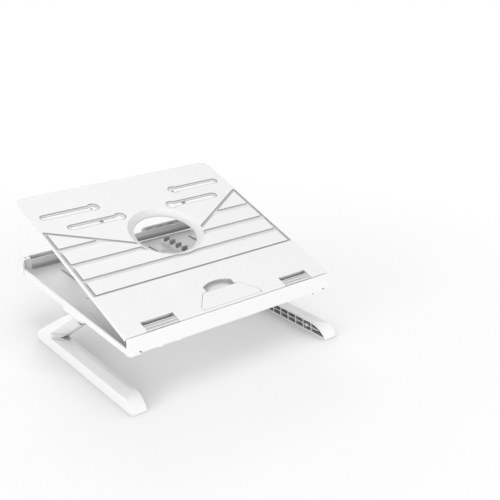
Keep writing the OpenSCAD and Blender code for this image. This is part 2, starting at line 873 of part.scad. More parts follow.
module rack_screws() {
    color(steel) at_tray() both_sides() for (y = rack_screw_at)
        translate([rack_x, y, screw_sink])
            screw(small_r, floor_t - screw_sink + screw_bite, small_head_r, small_head_h);
}

module hinge_pins() {
    color(steel) at_tray() both_sides()
        rod_x(ear_x - ear_gap, skirt_x - ear_x + ear_gap, pin_r, hinge_y, hinge_z);
}

// Quarter bend of wire in the bail's plane, from angle a0
module wire_bend(x, y, r, a0) {
    translate([x, y, 0]) rotate([0, 0, a0]) rotate_extrude(angle = 90) translate([r, 0])
        circle(r = wire_r);
}

module prop_bail() {
    color(steel) at_bail() {
        both_sides() {
            rod_x(clip_x - over, arm_x - bend_in - clip_x + over, wire_r);
            wire_bend(arm_x - bend_in, bend_in, bend_in, -90);
            translate([arm_x, bend_in, 0]) rotate([-90, 0, 0])
                cylinder(h = arm_l - bend_in - bend_out, r = wire_r);
            wire_bend(arm_x - bend_out, arm_l - bend_out, bend_out, 0);
        }
        rod_x(bend_out - arm_x, 2 * (arm_x - bend_out), wire_r, arm_l, 0);
    }
}

// Saddle that holds one pivot of the bail against the underside of the deck
module bail_clip(side) {
    color(white) at_plate() on_side(side) difference() {
        translate([clip_x, hinge_v + pivot_l - clip_l / 2, -clip_low])
            cube([clip_w, clip_l, clip_low - deck_t - pad_t]);
        rod_x(clip_x - over, clip_w + 2 * over, wire_r + run, hinge_v + pivot_l, -pivot_drop);
        clip_screw_sites() {
            translate([0, 0, -big]) cylinder(h = big, r = clip_screw_r + slack);
            translate([0, 0, -big]) cylinder(h = big - clip_low + clip_sink, r = clip_head_r + slack);
        }
    }
}

module left_bail_clip() {
    bail_clip(-1);
}

module right_bail_clip() {
    bail_clip(1);
}

module clip_screws() {
    color(steel) at_plate() both_sides() clip_screw_sites()
        translate([0, 0, clip_sink - clip_low])
            screw(clip_screw_r, clip_low - clip_sink - deck_t - over, clip_head_r, clip_head_h);
}

// ---------------------------------------------------------------- legs

// Screw places of one bracket, at the underside of its screw heads' seats
module bracket_screw_sites() {
    for (p = bracket_screw_at) translate([p[0], p[1] - mid_y, plate_low]) children();
}

// Hinge bracket under the tray: plate and two ears
module bracket(side) {
    color(white) on_side(side) difference() {
        union() {
            intersection() {
                translate([bracket_in, bracket_y - mid_y, plate_low])
                    cube([tray_half - bracket_in, bracket_l, tray_z]);
                at_tray() translate([0, 0, -tray_z]) cube([tray_half, tray_l, tray_z]);
            }
            for (y = [knuckle_y - lug_gap - lug_t, knuckle_y + knuckle_l + lug_gap])
                translate([leg_x, y - mid_y, leg_z]) {
                    rotate([-90, 0, 0]) cylinder(h = lug_t, r = knuckle_r);
                    translate([-knuckle_r, 0, 0]) cube([2 * knuckle_r, lug_t, plate_low - leg_z + over]);
                }
        }
        translate([leg_x, -mid_y, leg_z]) rotate([-90, 0, 0]) cylinder(h = big, r = axis_r + fit);
        bracket_screw_sites() {
            cylinder(h = tray_z, r = bracket_screw_r + fit);
            translate([0, 0, -over]) cylinder(h = over + screw_sink, r = bracket_head_r + slack);
        }
    }
}

module left_bracket() {
    bracket(-1);
}

module right_bracket() {
    bracket(1);
}

module bracket_screws() {
    color(steel) both_sides() bracket_screw_sites()
        translate([0, 0, screw_sink])
            screw(bracket_screw_r, bracket_screw_l, bracket_head_r, bracket_head_h);
}

// Sideways V in the (y, z) plane, with every face brought in by g
module leg_outline(g, low) {
    top = arm_h - g;
    intersection() {
        translate([g - toe, low]) square([heel_c[0] + toe - g, top - low]);
        union() {
            translate([toe_c[0], -over - pocket_low]) square([big, big]);
            translate(toe_c) circle(r = toe_r - g);
        }
    }
    if (g == 0) translate(heel_c) circle(r = heel_r);
    rear = arm_c - g * across;
    front = vee_c + g * across;
    polygon([
        front - [0, g + over], rear,
        rear + (leg_top - rear[1]) / sin(rise_a) * along,
        front + (leg_top - front[1]) / sin(rise_a) * along
    ]);
}

// Ribs inside a leg: uprights and one long rib in the lower arm, cross ribs in the upper arm
module leg_ribs() {
    for (y = [rib_y:rib_p:heel_c[0] - rib_p]) translate([y - rib_t / 2, 0]) square([rib_t, arm_h]);
    translate([0, arm_h / 2]) square([heel_c[0] - rib_p * 0.7, rib_t]);
    translate([toe_post_y, arm_h / 2 + rib_t / 2]) circle(r = toe_post_r);
    for (i = [1:6])
        translate(arm_c + (i - 0.25) * rib_p * along) rotate(90 - rise_a)
            translate([-rib_t / 2, -arm_deep - over]) square([rib_t, arm_deep + 2 * over]);
}

// Rounded notch between the arms, swept outwards and to the rear, with its faces grown by g
module notch(g) {
    tip = (notch_r + g) * [-sin(notch_half), cos(notch_half)];
    far = tip + big / 3 * [cos(notch_half), sin(notch_half)];
    intersection() {
        translate([leg_mid, vee_c[0], vee_c[1]]) rotate([0, 90 - notch_dip, notch_turn])
            translate([0, 0, -big / 3]) linear_extrude(big / 2) rotate(notch_mid)
                translate([notch_r / sin(notch_half), 0]) {
                    circle(r = notch_r + g);
                    polygon([tip, far, [far[0], -far[1]], [tip[0], -tip[1]]]);
                }
        translate([leg_mid, -big / 2, 0]) cube(big);
    }
}

module leg_pocket_outline() {
    intersection() {
        leg_outline(wall_in, pocket_low);
        translate([-toe, pocket_low]) square([big, leg_z - pocket_drop - pocket_low]);
    }
}

module leg_shell() {
    difference() {
        intersection() {
            along_x(leg_in, leg_out - leg_in) leg_outline(0, -pocket_low);
            // inner part stops at the pin, the outer wall reaches past it
            rotate([90, 0, 0]) translate([0, 0, -big / 2]) linear_extrude(big) polygon([
                [leg_in, -big], [leg_out, -big], [leg_out, leg_top],
                [leg_skin, leg_top], [leg_skin, leg_z], [leg_in, leg_z]
            ]);
        }
        notch(0);
        // bevel that widens up the rear edge of the upper arm
        translate([leg_out, arm_c[0], arm_c[1]]) rotate([-rise_a, 0, 0]) translate([0, -bevel_from, 0])
            rotate([atan(bevel_d / bevel_l), 0, 0]) rotate([0, atan(bevel_d / bevel_w), 0])
                translate([-big / 2, -big, 0]) cube([big, big + over, big]);
        // open inner side with its ribs, deeper towards the outer wall
        along_x(leg_in - over, leg_mid - leg_in + over) difference() {
            leg_pocket_outline();
            leg_ribs();
        }
        difference() {
            along_x(leg_mid - eps, leg_out - leg_t - leg_mid) difference() {
                leg_pocket_outline();
                leg_ribs();
            }
            notch(wall_in);
        }
        // room for the bracket's ears
        for (y = [[bracket_y - over, knuckle_y], [knuckle_y + knuckle_l, heel_y]])
            translate([leg_in - over, y[0], leg_z - lug_room])
                cube([leg_skin - leg_in + over, y[1] - y[0], big]);
    }
}

module leg_local() {
    difference() {
        union() {
            leg_shell();
            translate([0, knuckle_y, leg_z]) rotate([-90, 0, 0])
                cylinder(h = knuckle_l, r = knuckle_r);
        }
        translate([0, 0, leg_z]) rotate([-90, 0, 0]) cylinder(h = big, r = axis_r + run);
    }
}

module leg(side) {
    color(white) on_side(side) difference() {
        intersection() {
            at_leg() leg_local();
            translate([0, -big / 2, sole_z]) cube(big);
        }
        for (p = pad_at)
            translate([pad_x, p[0] - mid_y, -over]) cube([pad_w, p[1], over + sole_z + pad_in]);
    }
}

module left_leg() {
    leg(-1);
}

module right_leg() {
    leg(1);
}

module leg_pin(side) {
    color(steel) on_side(side)
        translate([leg_x, knuckle_y - lug_gap - lug_t - mid_y, leg_z]) rotate([-90, 0, 0])
            cylinder(h = knuckle_l + 2 * (lug_gap + lug_t), r = axis_r);
}

module left_leg_pin() {
    leg_pin(-1);
}

module right_leg_pin() {
    leg_pin(1);
}

module foot_pads(side) {
    color(rubber) on_side(side) for (p = pad_at)
        translate([pad_x, p[0] - mid_y, 0]) cube([pad_w, p[1], sole_z + pad_in]);
}

module left_foot_pads() {
    foot_pads(-1);
}

module right_foot_pads() {
    foot_pads(1);
}

// ---------------------------------------------------------------- drawing

top_plate();
flip_tab();
tab_pin();
left_stop();
right_stop();
stop_pins();
base_tray();
left_rear_guard();
right_rear_guard();
guard_screws();
left_rack();
right_rack();
rack_screws();
hinge_pins();
prop_bail();
left_bail_clip();
right_bail_clip();
clip_screws();
left_bracket();
right_bracket();
bracket_screws();
left_leg();
right_leg();
left_leg_pin();
right_leg_pin();
left_foot_pads();
right_foot_pads();
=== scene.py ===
"""Looks of a folding laptop stand.

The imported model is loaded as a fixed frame. Each sub-assembly is a class that dresses its own
nodes and adds the fine pieces that ride on its body. Lengths are metres, +Z up.
"""

from __future__ import annotations

import json
import logging
import math
from dataclasses import dataclass, field
from enum import Enum

import bmesh
import bpy
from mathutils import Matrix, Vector
from mathutils.bvhtree import BVHTree


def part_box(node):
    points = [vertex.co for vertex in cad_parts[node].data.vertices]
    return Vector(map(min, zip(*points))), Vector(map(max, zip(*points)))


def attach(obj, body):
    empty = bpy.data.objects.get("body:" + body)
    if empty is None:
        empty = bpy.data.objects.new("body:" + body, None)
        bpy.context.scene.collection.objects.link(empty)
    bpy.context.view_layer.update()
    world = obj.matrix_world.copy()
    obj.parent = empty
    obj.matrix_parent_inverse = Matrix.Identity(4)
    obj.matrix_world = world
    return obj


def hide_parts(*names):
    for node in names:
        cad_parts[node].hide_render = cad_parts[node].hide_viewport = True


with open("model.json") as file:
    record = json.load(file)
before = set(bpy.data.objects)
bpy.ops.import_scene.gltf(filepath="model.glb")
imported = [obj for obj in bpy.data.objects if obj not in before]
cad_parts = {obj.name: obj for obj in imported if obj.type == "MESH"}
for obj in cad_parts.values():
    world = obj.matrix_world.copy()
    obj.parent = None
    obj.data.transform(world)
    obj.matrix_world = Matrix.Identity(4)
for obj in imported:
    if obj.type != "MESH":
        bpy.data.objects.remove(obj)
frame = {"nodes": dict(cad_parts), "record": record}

MM = 0.001
log = logging.getLogger("laptop_stand")


# ---------------------------------------------------------------- shader building


class Number:
    """A socket that carries one number, open to plain arithmetic."""

    def __init__(self, graph: "Graph", socket: bpy.types.NodeSocket) -> None:
        """Wraps a socket.

        Args:
            graph: The graph that the socket belongs to.
            socket: The output socket.
        """
        self.graph = graph
        self.socket = socket

    def _with(self, operation: str, first: object, second: object) -> "Number":
        """Adds one Math node.

        Args:
            operation: The node's operation.
            first: The left operand.
            second: The right operand.

        Returns:
            The result.
        """
        return Number(self.graph, self.graph.node(
            "ShaderNodeMath", {"operation": operation}, {0: first, 1: second}).outputs[0])

    def __add__(self, other: object) -> "Number":
        """Adds."""
        return self._with("ADD", self, other)

    __radd__ = __add__

    def __sub__(self, other: object) -> "Number":
        """Subtracts a value."""
        return self._with("SUBTRACT", self, other)

    def __rsub__(self, other: object) -> "Number":
        """Subtracts from a value."""
        return self._with("SUBTRACT", other, self)

    def __mul__(self, other: object) -> "Number":
        """Multiplies."""
        return self._with("MULTIPLY", self, other)

    __rmul__ = __mul__

    def __pow__(self, other: object) -> "Number":
        """Raises to a power."""
        return self._with("POWER", self, other)

    def clipped(self, low: float, high: float) -> "Number":
        """Maps low to 0 and high to 1 and stays between them.

        Args:
            low: The value that becomes 0.
            high: The value that becomes 1.

        Returns:
            The mapped number.
        """
        return Number(self.graph, self.graph.node(
            "ShaderNodeMapRange", {"clamp": True}, {0: self, 1: low, 2: high, 3: 0.0, 4: 1.0}).outputs[0])


class Graph:
    """The node tree of one material or of the world."""

    def __init__(self, owner: bpy.types.Material | bpy.types.World) -> None:
        """Empties the owner's tree.

        Args:
            owner: The material or the world.
        """
        self.owner = owner
        owner.use_nodes = True
        self.tree = owner.node_tree
        self.tree.nodes.clear()

    def node(self, kind: str, settings: dict[str, object] | None = None,
             inputs: dict[object, object] | None = None) -> bpy.types.Node:
        """Adds a node, sets its settings and then its sockets.

        Args:
            kind: The node's type.
            settings: Its properties; "stops" holds a ramp's (place, colour) pairs.
            inputs: Values, colours, sockets or Numbers by socket name or index.

        Returns:
            The node.
        """
        made = self.tree.nodes.new(kind)
        for key, value in (settings or {}).items():
            if key == "stops":
                elements = made.color_ramp.elements
                while len(elements) < len(value):
                    elements.new(0.5)
                for element, (place, colour) in zip(elements, value):
                    element.position = place
                    element.color = colour
            else:
                setattr(made, key, value)
        for key, value in (inputs or {}).items():
            source = value.socket if isinstance(value, Number) else value
            if isinstance(source, bpy.types.NodeSocket):
                self.tree.links.new(source, made.inputs[key])
            else:
                made.inputs[key].default_value = source
        return made

    def place(self) -> bpy.types.NodeSocket:
        """The point on the object, in metres."""
        return self.node("ShaderNodeTexCoord").outputs["Object"]

    def stretched(self, scale: tuple[float, float, float]) -> bpy.types.NodeSocket:
        """The point on the object with each axis scaled.

        Args:
            scale: The factors.

        Returns:
            The scaled point.
        """
        return self.node(
            "ShaderNodeMapping", inputs={"Vector": self.place(), "Scale": scale}).outputs[0]

    def noise(self, size: float, detail: float = 2.0, rough: float = 0.5,
              at: bpy.types.NodeSocket | None = None) -> Number:
        """Noise whose grains measure about size.

        Args:
            size: The length of a grain in metres.
            detail: The number of finer layers.
            rough: The strength of the finer layers.
            at: The point, the object's own by default.

        Returns:
            The noise, from 0 to 1.
        """
        return Number(self, self.node("ShaderNodeTexNoise", None, {
            "Vector": at or self.place(), "Scale": 1.0 / size, "Detail": detail, "Roughness": rough,
        }).outputs[0])

    def blend_colour(self, factor: object, first: object, second: object) -> bpy.types.NodeSocket:
        """Goes from one colour to another.

        Args:
            factor: 0 for the first colour, 1 for the second.
            first: The first colour.
            second: The second colour.

        Returns:
            The mixed colour.
        """
        return self.node(
            "ShaderNodeMix", {"data_type": "RGBA"}, {0: factor, 6: first, 7: second}).outputs[2]

    def bump(self, height: Number, depth: float, under: bpy.types.NodeSocket | None = None
             ) -> bpy.types.NodeSocket:
        """Turns a height from 0 to 1 into a surface normal.

        Args:
            height: The height.
            depth: What a height of 1 stands for, in metres.
            under: The normal that it is laid over.

        Returns:
            The normal.
        """
        inputs: dict[object, object] = {"Height": height, "Distance": depth}
        if under is not None:
            inputs["Normal"] = under
        return self.node("ShaderNodeBump", None, inputs).outputs[0]

    def shelter(self, reach: float, own: bool = True) -> "Number":
        """How open the surface lies to the space around it.

        Args:
            reach: How far a wall counts, in metres.
            own: Whether only the moulding's own walls count, which stay put when joints move.

        Returns:
            1 on an open face, less in a crease.
        """
        return Number(self, self.node(
            "ShaderNodeAmbientOcclusion", {"samples": 12, "only_local": own},
            {"Distance": reach}).outputs["AO"])

    def eased_edges(self, radius: float) -> bpy.types.NodeSocket:
        """The normal of the surface with its sharp edges eased.

        Args:
            radius: The radius of the edges in metres.

        Returns:
            The normal.
        """
        return self.node("ShaderNodeBevel", {"samples": 6}, {"Radius": radius}).outputs[0]

    def finish(self, inputs: dict[object, object]) -> bpy.types.Material:
        """Closes the graph with the surface shader.

        Args:
            inputs: The shader's sockets.

        Returns:
            The material.
        """
        shader = self.node("ShaderNodeBsdfPrincipled", None, inputs)
        self.node("ShaderNodeOutputMaterial", None, {"Surface": shader.outputs[0]})
        return self.owner


# ---------------------------------------------------------------- finishes


class Slot(Enum):
    """The record's material slots."""

    PLASTIC = "white_plastic"
    WIRE = "bright_steel"
    STEEL = "steel"
    RUBBER = "soft_rubber"


def grey(level: float) -> tuple[float, float, float, float]:
    """A neutral colour.

    Args:
        level: Its brightness.

    Returns:
        The colour.
    """
    return (level, level, level, 1.0)


@dataclass(frozen=True)
class MouldedPlastic:
    """White moulded plastic with a fine satin texture, eased edges and painted shade in its creases and
    hollows.
    """

    name: str = "white_moulded_plastic"
    level: float = 0.82
    sheen: float = 0.42
    grain: float = 0.5 * MM
    grain_depth: float = 0.012 * MM
    edge: float = 0.45 * MM
    # reach, wide_reach, dim and the crease and hollow settings below set the painted shade in creases and
    # hollows
    reach: float = 8.0 * MM
    wide_reach: float = 60.0 * MM
    dim: float = 0.46  # share of the colour left in the deepest crease
    crease_clip: tuple[float, float] = (0.7, 0.995)
    crease_power: float = 1.5
    crease_floor: float = 0.12
    hollow_clip: tuple[float, float] = (0.25, 0.98)
    hollow_floor: float = 0.56
    # the ring settings paint shade on the dished ring round a window
    ring_centre: tuple[float, float, float] = (0.0, 0.0, 0.0)
    ring_radius: float = 0.0
    ring_shade_share: float = 0.88
    ring_fade: tuple[float, float] = (-5.0 * MM, 0.3 * MM)

    def build(self) -> bpy.types.Material:
        """Builds the material.

        Returns:
            The material.
        """
        graph = Graph(bpy.data.materials.new(self.name))
        flow = graph.noise(45 * MM, 3.0)
        speck = graph.noise(1.6 * MM, 2.0, 0.6)
        smudge = graph.noise(22 * MM, 4.0, 0.62).clipped(0.46, 0.72)
        skin = graph.noise(self.grain, 3.0, 0.6)
        tint = (flow * 0.7 + speck * 0.3).clipped(0.3, 0.7)
        skin_colour = graph.blend_colour(tint, grey(self.level * 0.975), grey(self.level))
        # painted shade: the dished ring round the window is painted a shade greyer than the plate
        if self.ring_radius:
            reach = Number(graph, graph.node("ShaderNodeVectorMath", {"operation": "DISTANCE"}, {
                0: graph.place(), 1: self.ring_centre}).outputs["Value"])
            low, high = (self.ring_radius + step for step in self.ring_fade)
            dish_shade_mask = 1.0 - reach.clipped(low, high)
            skin_colour = graph.blend_colour(dish_shade_mask, skin_colour, grey(self.level * self.ring_shade_share))
        # painted shade: the base colour darkens towards grey(level * dim) in the moulding's own creases
        # and wider hollows
        near = graph.shelter(self.reach).clipped(*self.crease_clip)
        wide = graph.shelter(self.wide_reach).clipped(*self.hollow_clip)
        crease = self.crease_floor + (1.0 - self.crease_floor) * near ** self.crease_power
        unshaded_share = crease * (self.hollow_floor + (1.0 - self.hollow_floor) * wide)
        colour = graph.blend_colour(unshaded_share, grey(self.level * self.dim), skin_colour)
        return graph.finish({
            "Base Color": colour,
            "Roughness": self.sheen + 0.07 * (speck - 0.5) + 0.06 * smudge,
            "Normal": graph.bump(skin, self.grain_depth, graph.eased_edges(self.edge)),
            "IOR": 1.47,
        })


@dataclass(frozen=True)
class DrawnSteel:
    """Bright drawn wire with faint lines along its length."""

    name: str = "drawn_steel_wire"
    level: float = 0.76
    rough: float = 0.32

    def build(self) -> bpy.types.Material:
        """Builds the material.

        Returns:
            The material.
        """
        graph = Graph(bpy.data.materials.new(self.name))
        lines = graph.noise(0.25 * MM, 2.0, 0.6, graph.stretched((0.02, 1.0, 1.0)))
        cloud = graph.noise(14 * MM, 3.0)
        colour = graph.blend_colour(cloud.clipped(0.35, 0.65), grey(self.level * 0.92), grey(self.level))
        return graph.finish({
            "Base Color": colour,
            "Metallic": 1.0,
            "Roughness": self.rough + 0.1 * lines + 0.05 * cloud,
            "Normal": graph.bump(lines, 0.006 * MM),
        })


@dataclass(frozen=True)
class PlatedSteel:
    """Zinc-plated steel of the pins and screws."""

    name: str = "plated_steel"
    level: float = 0.58
    rough: float = 0.3

    def build(self) -> bpy.types.Material:
        """Builds the material.

        Returns:
            The material.
        """
        graph = Graph(bpy.data.materials.new(self.name))
        cloud = graph.noise(2.2 * MM, 4.0, 0.6)
        scratch = graph.noise(0.18 * MM, 2.0, 0.5, graph.stretched((0.15, 1.0, 1.0)))
        colour = graph.blend_colour(cloud, grey(self.level * 0.9), grey(self.level))
        return graph.finish({
            "Base Color": colour,
            "Metallic": 1.0,
            "Roughness": self.rough + 0.12 * cloud,
            "Normal": graph.bump(scratch, 0.005 * MM, graph.eased_edges(0.15 * MM)),
        })


@dataclass(frozen=True)
class SoftRubber:
    """Pale soft rubber of the foot pads."""

    name: str = "soft_rubber"
    level: float = 0.5

    def build(self) -> bpy.types.Material:
        """Builds the material.

        Returns:
            The material.
        """
        graph = Graph(bpy.data.materials.new(self.name))
        dust = graph.noise(3 * MM, 4.0, 0.65).clipped(0.4, 0.75)
        skin = graph.noise(0.35 * MM, 3.0, 0.6)
        colour = graph.blend_colour(dust, grey(self.level), grey(self.level * 0.85))
        return graph.finish({
            "Base Color": colour,
            "Roughness": 0.72 + 0.15 * dust,
            "Normal": graph.bump(skin, 0.03 * MM, graph.eased_edges(0.3 * MM)),
        })


# ---------------------------------------------------------------- studio


@dataclass(frozen=True)
class Lamp:
    """A soft rectangular lamp that faces the stand."""

    name: str
    at: tuple[float, float, float]
    size: float
    power: float

    def build(self) -> None:
        """Adds the lamp."""
        data = bpy.data.lights.new(self.name, "AREA")
        data.size = self.size
        data.energy = self.power
        lamp = bpy.data.objects.new(self.name, data)
        bpy.context.scene.collection.objects.link(lamp)
        lamp.location = self.at
        aim = Vector((0.0, 0.0, 0.08)) - Vector(self.at)
        lamp.rotation_mode = "QUATERNION"
        lamp.rotation_quaternion = aim.to_track_quat("-Z", "Y")


@dataclass
class Studio:
    """Camera, pale floor, lamps and surroundings."""

    camera_at: tuple[float, float, float] = (-0.5781, -0.90165, 0.5385)
    turn: float = -38.45
    pitch: float = 21.32
    lens: float = 59.56
    ambient: float = 0.55
    floor_span: float = 14.0
    floor_level: float = 0.9
    floor_glow: float = 0.2
    floor_fade: tuple[float, float] = (0.2, 0.8)
    # the contact settings paint a shadow on the floor near the stand
    contact_reach: float = 0.07
    contact_share: float = 0.62
    contact_clip: tuple[float, float] = (0.2, 1.0)
    lamps: tuple[Lamp, ...] = (
        Lamp("top_lamp", (0.0, -0.8, 3.8), 2.6, 44.0),
        Lamp("rear_lamp", (1.6, 3.9, 1.7), 2.6, 62.0),
        Lamp("front_lamp", (-0.8, -4.4, 1.0), 2.4, 82.0),
        Lamp("left_lamp", (-4.4, -0.6, 0.9), 2.4, 92.0),
    )

    def build_camera(self) -> None:
        """Sets up the camera."""
        data = bpy.data.cameras.new("camera")
        data.sensor_width = 36.0
        data.lens = self.lens
        camera = bpy.data.objects.new("camera", data)
        bpy.context.scene.collection.objects.link(camera)
        turn, pitch = math.radians(self.turn), math.radians(self.pitch)
        back = Vector((
            math.sin(turn) * math.cos(pitch), -math.cos(turn) * math.cos(pitch), math.sin(pitch)))
        camera.location = self.camera_at
        camera.rotation_mode = "QUATERNION"
        camera.rotation_quaternion = (-back).to_track_quat("-Z", "Y")
        bpy.context.scene.camera = camera

    def build_floor(self) -> None:
        """Lays the floor, white to the eye and shaded under the stand, both by the lamps and by painted
        shadow.
        """
        mesh = bpy.data.meshes.new("studio_floor")
        half = self.floor_span / 2
        corners = [(-half, -half, 0.0), (half, -half, 0.0), (half, half, 0.0), (-half, half, 0.0)]
        mesh.from_pydata(corners, [], [(0, 1, 2, 3)])
        floor = bpy.data.objects.new("studio_floor", mesh)
        bpy.context.scene.collection.objects.link(floor)
        graph = Graph(bpy.data.materials.new("studio_floor"))
        path = graph.node("ShaderNodeLightPath")
        seen = Number(graph, path.outputs["Is Camera Ray"]) + Number(graph, path.outputs["Is Glossy Ray"])
        reach = Number(graph, graph.node(
            "ShaderNodeVectorMath", {"operation": "LENGTH"}, {0: graph.place()}).outputs["Value"])
        share = self.floor_glow + (1.0 - self.floor_glow) * reach.clipped(*self.floor_fade)
        # painted shadow: the floor's colour and its glow are darkened where the stand is near
        near = graph.shelter(self.contact_reach, own=False).clipped(*self.contact_clip)
        matt_colour = graph.blend_colour(
            near, grey(self.floor_level * self.contact_share), grey(self.floor_level))
        glow_colour = graph.blend_colour(near, grey(self.contact_share), grey(1.0))
        matt = graph.node("ShaderNodeBsdfDiffuse", None, {"Color": matt_colour})
        glow = graph.node("ShaderNodeEmission", None, {"Color": glow_colour, "Strength": 1.0})
        mix = graph.node("ShaderNodeMixShader", None, {
            0: seen.clipped(0.0, 1.0) * share, 1: matt.outputs[0], 2: glow.outputs[0]})
        graph.node("ShaderNodeOutputMaterial", None, {"Surface": mix.outputs[0]})
        mesh.materials.append(graph.owner)

    def build_world(self) -> None:
        """Lights the stand evenly from all round and shows white behind it."""
        world = bpy.data.worlds.new("studio")
        bpy.context.scene.world = world
        graph = Graph(world)
        path = graph.node("ShaderNodeLightPath")
        dim = graph.node("ShaderNodeBackground", None, {"Color": grey(1.0), "Strength": self.ambient})
        white = graph.node("ShaderNodeBackground", None, {"Color": grey(1.0), "Strength": 1.0})
        mix = graph.node("ShaderNodeMixShader", None, {
            0: path.outputs["Is Camera Ray"], 1: dim.outputs[0], 2: white.outputs[0]})
        graph.node("ShaderNodeOutputWorld", None, {"Surface": mix.outputs[0]})

    def build_lamps(self) -> None:
        """Hangs the lamps."""
        for lamp in self.lamps:
            lamp.build()

    def build(self) -> None:
        """Builds the whole studio."""
        self.build_camera()
        self.build_floor()
        self.build_world()
        self.build_lamps()
        bpy.context.scene.view_settings.view_transform = "Standard"


# ---------------------------------------------------------------- pieces of the stand


class Wardrobe:
    """The finishes by material slot."""

    def __init__(self) -> None:
        """Builds each finish once."""
        self.by_slot = {
            Slot.PLASTIC: MouldedPlastic().build(),
            Slot.WIRE: DrawnSteel().build(),
            Slot.STEEL: PlatedSteel().build(),
            Slot.RUBBER: SoftRubber().build(),
        }
        self.slot_of = {
            part["node"]: Slot(part["material_slot"]) for part in frame["record"]["subparts"]
        }

    def dress(self, node: str) -> None:
        """Gives a node its finish.

        Args:
            node: The node's name.
        """
        mesh = frame["nodes"][node].data
        mesh.materials.clear()
        mesh.materials.append(self.by_slot[self.slot_of[node]])

    def add(self, name: str, mesh: bmesh.types.BMesh, body: str, slot: Slot) -> bpy.types.Object:
        """Turns a mesh into a piece that rides on a body.

        Args:
            name: The piece's name.
            mesh: Its mesh, which is used up.
            body: The body that carries it.
            slot: The slot of its finish.

        Returns:
            The piece.
        """
        bmesh.ops.recalc_face_normals(mesh, faces=mesh.faces)
        data = bpy.data.meshes.new(name)
        mesh.to_mesh(data)
        mesh.free()
        data.materials.append(self.by_slot[slot])
        piece = bpy.data.objects.new(name, data)
        bpy.context.scene.collection.objects.link(piece)
        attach(piece, body)
        return piece


def skin(mesh: bmesh.types.BMesh, rows: list[list[Vector]], closed: bool = False) -> None:
    """Skins equal closed outlines one after the other.

    Args:
        mesh: The mesh that gets the skin.
        rows: The outlines, each with the same number of points.
        closed: Whether the last outline meets the first one; if not, both ends are capped.
    """
    rings = [[mesh.verts.new(point) for point in row] for row in rows]
    pairs = list(zip(rings, rings[1:])) + ([(rings[-1], rings[0])] if closed else [])
    for first, second in pairs:
        for index in range(len(first)):
            after = (index + 1) % len(first)
            mesh.faces.new((first[index], first[after], second[after], second[index]))
    if not closed:
        mesh.faces.new(rings[0])
        mesh.faces.new(rings[-1])


@dataclass
class SubAssembly:
    """Nodes of the stand that belong together, with the fine pieces that ride on them."""

    title: str
    nodes: tuple[str, ...]

    def build(self, wardrobe: Wardrobe) -> list[bpy.types.Object]:
        """Builds the fine pieces; none by default."""
        return []

    def dress(self, wardrobe: Wardrobe) -> None:
        """Gives each node its finish.

        Args:
            wardrobe: The finishes.
        """
        for node in self.nodes:
            wardrobe.dress(node)
            log.info("%s: dressed %s", self.title, node)


@dataclass
class EjectorMarks:
    """Round marks that the mould's ejector pins leave on a hidden face, as low raised rings."""

    radius: float = 3.0 * MM
    width: float = 0.5 * MM
    height: float = 0.14 * MM
    sunk: float = 0.05 * MM
    segments: int = 28
    clear: float = 1.4

    def seat(self, tree: BVHTree, start: Vector, along: Vector) -> tuple[Vector, Vector] | None:
        """Finds a flat place for a mark.

        Args:
            tree: The faces of the moulding.
            start: Where the search starts.
            along: The direction of the search.

        Returns:
            The place and its outward normal, or nothing where the face isn't flat all round.
        """
        point, normal, _, _ = tree.ray_cast(start, along)
        if point is None:
            return None
        side = normal.orthogonal().normalized()
        for turn in range(6):
            angle = math.tau * turn / 6
            spoke = side * math.cos(angle) + normal.cross(side) * math.sin(angle)
            probe = point + spoke * self.radius * self.clear + normal * self.radius
            hit, _, _, _ = tree.ray_cast(probe, -normal)
            if hit is None or abs((hit - point).dot(normal)) > 0.02 * MM:
                return None
        return point, normal

    def ring(self, mesh: bmesh.types.BMesh, point: Vector, normal: Vector) -> None:
        """Adds one mark.

        Args:
            mesh: The mesh that gets it.
            point: Its place.
            normal: The outward normal there.
        """
        side = normal.orthogonal().normalized()
        other = normal.cross(side)
        half = self.width / 2
        profile = [(-half, -self.sunk), (-half * 0.55, self.height), (half * 0.55, self.height),
                   (half, -self.sunk)]
        rows = []
        for turn in range(self.segments):
            angle = math.tau * turn / self.segments
            spoke = side * math.cos(angle) + other * math.sin(angle)
            rows.append([point + spoke * (self.radius + out) + normal * up for out, up in profile])
        skin(mesh, rows, closed=True)

    def build(self, wardrobe: Wardrobe, name: str, node: str, body: str,
              starts: list[Vector], along: Vector) -> list[bpy.types.Object]:
        """Builds the marks of one moulding as one piece.

        Args:
            wardrobe: The finishes.
            name: The piece's name.
            node: The moulding.
            body: The body that carries it.
            starts: Where each search starts.
            along: The direction of the searches.

        Returns:
            The piece, or nothing where no place is flat.
        """
        faces = frame["nodes"][node].data
        tree = BVHTree.FromPolygons(
            [vertex.co for vertex in faces.vertices], [face.vertices[:] for face in faces.polygons])
        mesh = bmesh.new()
        places = [place for place in (self.seat(tree, start, along) for start in starts) if place]
        for point, normal in places:
            self.ring(mesh, point, normal)
        log.info("%s: %d marks", name, len(places))
        if not places:
            mesh.free()
            return []
        return [wardrobe.add(name, mesh, body, Slot.PLASTIC)]


def spread(low: Vector, high: Vector, shares: tuple[tuple[float, float], ...],
           level: float) -> list[Vector]:
    """Places points over a box seen from above.

    Args:
        low: The box's lowest corner.
        high: Its highest corner.
        shares: The place of each point as shares of the box's width and depth.
        level: The points' height.

    Returns:
        The points.
    """
    return [Vector((low[0] + (high[0] - low[0]) * across, low[1] + (high[1] - low[1]) * back, level))
            for across, back in shares]


